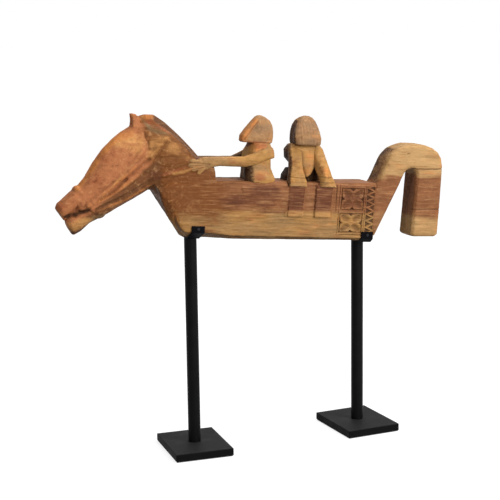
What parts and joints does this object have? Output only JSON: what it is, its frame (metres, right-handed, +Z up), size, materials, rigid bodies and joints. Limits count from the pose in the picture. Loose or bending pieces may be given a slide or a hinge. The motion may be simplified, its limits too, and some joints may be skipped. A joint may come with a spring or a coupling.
{
  "type": "carved wooden horse sculpture on stand",
  "caption": "Long carved wooden horse with seated riders, lowered head and arched tail, screwed to steel cradles on round posts with heavy base plates.",
  "frame": {"origin": "on the floor, midway between the horse's nose and the back of its tail, in the plane through both posts", "axes": "+X along the horse from nose to tail, -Y the side that the rear rider faces, +Z up"},
  "size_m": [1.3853, 0.2612, 1.1532],
  "materials": {
    "felt": "matte black felt",
    "base_steel": "satin black paint on thick plate",
    "bolt_steel": "plain zinc-plated",
    "plug_steel": "bare turned steel",
    "post_steel": "satin black paint on round tube",
    "cradle_steel": "satin black paint on bent flat bar",
    "screw_steel": "black screw",
    "horse_wood": "hand-carved hardwood, waxed, red-brown heartwood",
    "mane_wood": "hand-carved hardwood, dark red-brown",
    "bridle_wood": "hand-carved hardwood in relief",
    "rider_wood": "hand-carved hardwood, waxed, tan sapwood",
    "leg_wood": "hand-carved hardwood in relief, brown heartwood"
  },
  "bodies": {
    "root": {"front_floor_felt": "felt", "rear_floor_felt": "felt", "front_base_plate": "base_steel", "rear_base_plate": "base_steel", "base_bolts": "bolt_steel", "front_foot_plug": "plug_steel", "rear_foot_plug": "plug_steel", "front_post": "post_steel", "rear_post": "post_steel", "front_cradle": "cradle_steel", "rear_cradle": "cradle_steel", "cradle_screws": "screw_steel", "horse_trunk": "horse_wood", "horse_head_and_neck": "horse_wood", "horse_ears": "horse_wood", "horse_mane": "mane_wood", "bridle_and_reins": "bridle_wood", "horse_tail": "horse_wood", "front_rider_body": "rider_wood", "front_rider_head": "rider_wood", "front_rider_left_arm": "rider_wood", "front_rider_right_arm": "rider_wood", "front_rider_legs": "leg_wood", "rear_rider_body": "rider_wood", "rear_rider_head": "rider_wood", "rear_rider_arms": "rider_wood", "rear_rider_legs": "leg_wood"}
  },
  "joints": []
}
